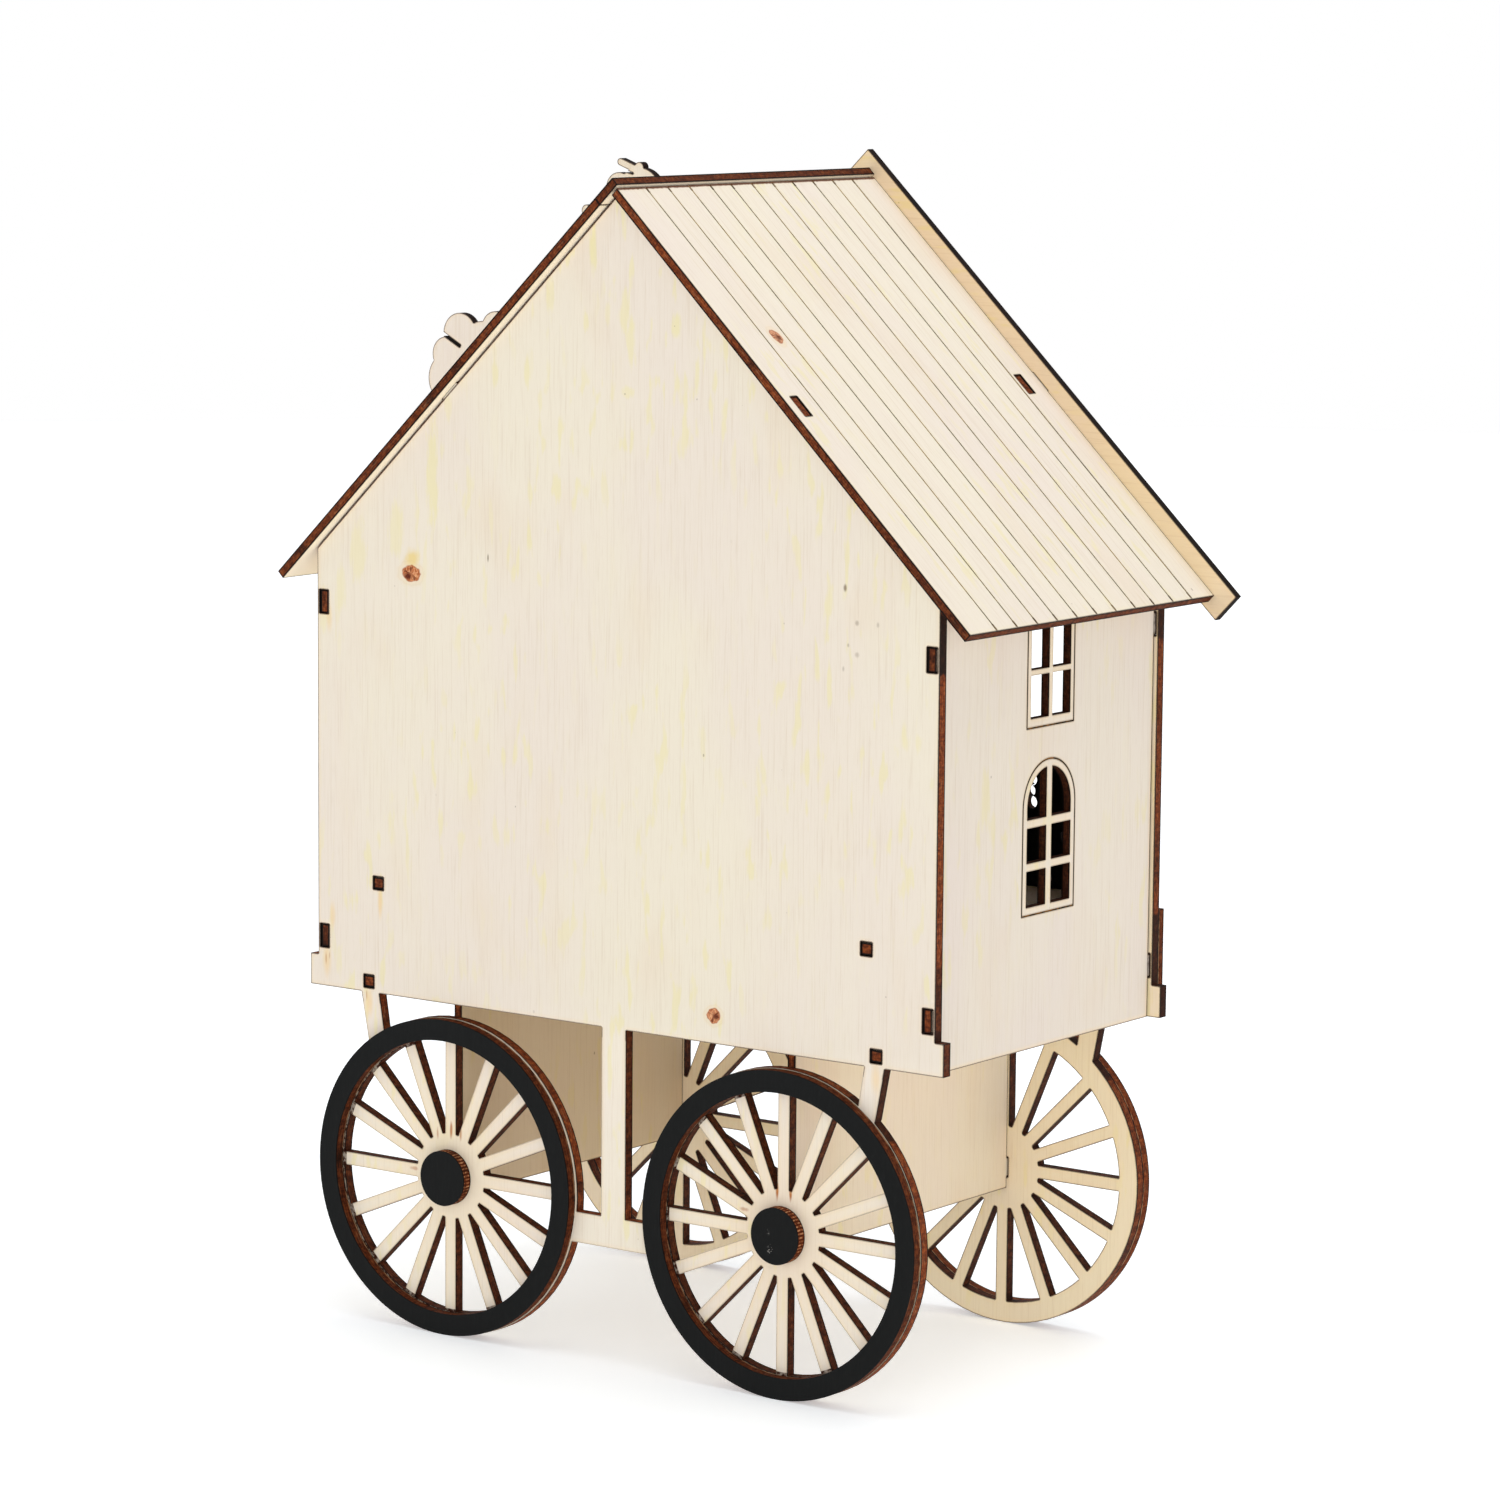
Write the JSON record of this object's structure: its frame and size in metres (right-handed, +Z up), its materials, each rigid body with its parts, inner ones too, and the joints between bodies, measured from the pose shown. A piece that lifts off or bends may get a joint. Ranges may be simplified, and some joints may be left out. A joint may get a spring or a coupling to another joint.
{
  "type": "plywood model house on wagon wheels",
  "caption": "Flat-pack plywood house with a steep plank roof, arched side windows and spoked wagon wheels cut in one with its gable plates.",
  "frame": {"origin": "on the ground, midway between the four wheels", "axes": "+Z up; the decorated gable faces -Y, the plain gable +Y; +X is to the right of someone facing the decorated gable"},
  "size_m": [0.2768, 0.1178, 0.3121],
  "materials": {
    "bare_plywood": "bare laser-cut basswood plywood, pale cream with yellow streaks; cut edges burnt brown",
    "black_plywood": "the same plywood with a matte black face; cut edges burnt brown"
  },
  "bodies": {
    "root": {"rear_plate": "bare_plywood", "front_plate": "bare_plywood", "left_wall": "bare_plywood", "right_wall": "bare_plywood", "base_floor": "bare_plywood", "room_floor": "bare_plywood", "left_axle_board": "bare_plywood", "right_axle_board": "bare_plywood", "roof_left": "bare_plywood", "roof_right": "bare_plywood", "ridge_strip": "bare_plywood", "barge_board": "black_plywood", "base_trim": "black_plywood", "rim_rear_left": "black_plywood", "rim_rear_right": "black_plywood", "rim_front_left": "black_plywood", "rim_front_right": "black_plywood", "hub_cap_rear_left": "black_plywood", "hub_cap_rear_right": "black_plywood", "hub_cap_front_left": "black_plywood", "hub_cap_front_right": "black_plywood", "window_frame_left": "black_plywood", "window_frame_right": "black_plywood", "gable_window_frame": "black_plywood", "door_frame": "black_plywood", "front_door": "bare_plywood", "scene_screen_left": "black_plywood", "scene_screen_right": "black_plywood", "yard_tree": "black_plywood", "tree_spacer": "bare_plywood"}
  },
  "joints": []
}
